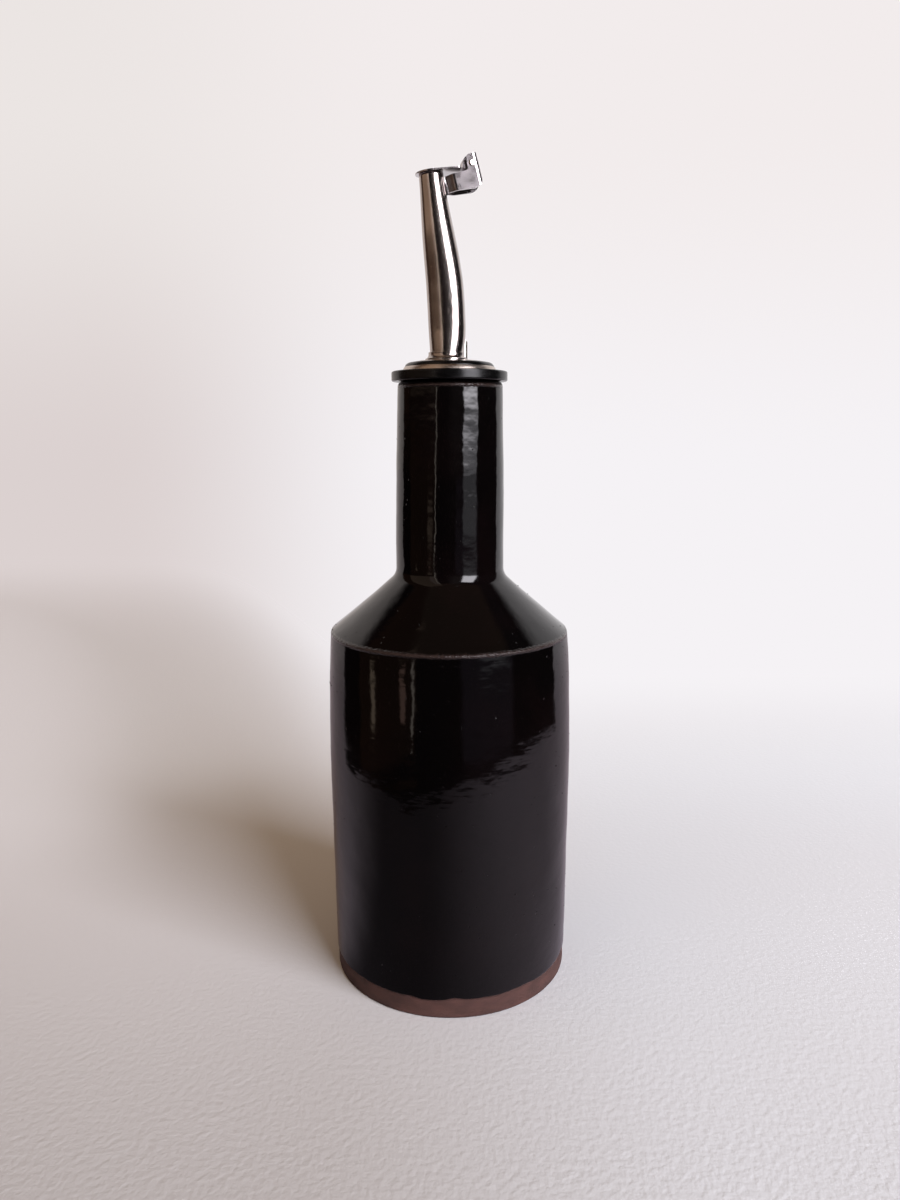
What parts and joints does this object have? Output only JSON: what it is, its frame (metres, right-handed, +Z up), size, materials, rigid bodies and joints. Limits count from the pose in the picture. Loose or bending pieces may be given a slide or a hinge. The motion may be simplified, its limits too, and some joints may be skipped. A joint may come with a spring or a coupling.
{
  "type": "stoneware oil bottle with pourer",
  "caption": "Straight-sided stoneware bottle with a tapered shoulder and long neck, closed by a rubber stopper with a bent steel spout and a hinged drip flap.",
  "frame": {"origin": "centre of the base, on the surface the bottle stands on", "axes": "+Z up along the bottle's axis; the spout leans towards -X, so oil pours out on the -X side and the flap's hinge pin is on the +X side of the mouth, lying along Y"},
  "size_m": [0.0798, 0.0798, 0.2594],
  "materials": {
    "glazed_stoneware": "gloss black glaze over a bare brown clay foot band",
    "black_rubber": "matte moulded",
    "satin_steel": "pressed, satin",
    "polished_steel": "drawn tube, polished"
  },
  "bodies": {
    "bottle": {"bottle": "glazed_stoneware", "stopper": "black_rubber", "spout_cap": "satin_steel", "spout_collar": "polished_steel", "spout_tube": "polished_steel", "vent_tube": "polished_steel", "hinge_bracket": "polished_steel", "hinge_pin": "polished_steel"},
    "flap": {"flap_lid": "satin_steel"}
  },
  "joints": [
    {"name": "flap_hinge", "type": "hinge", "parent": "bottle", "child": "flap", "pos_m": [0.0063, 0, 0.25635], "axis": [0, 1, 0], "range_deg": [0, 80]}
  ]
}
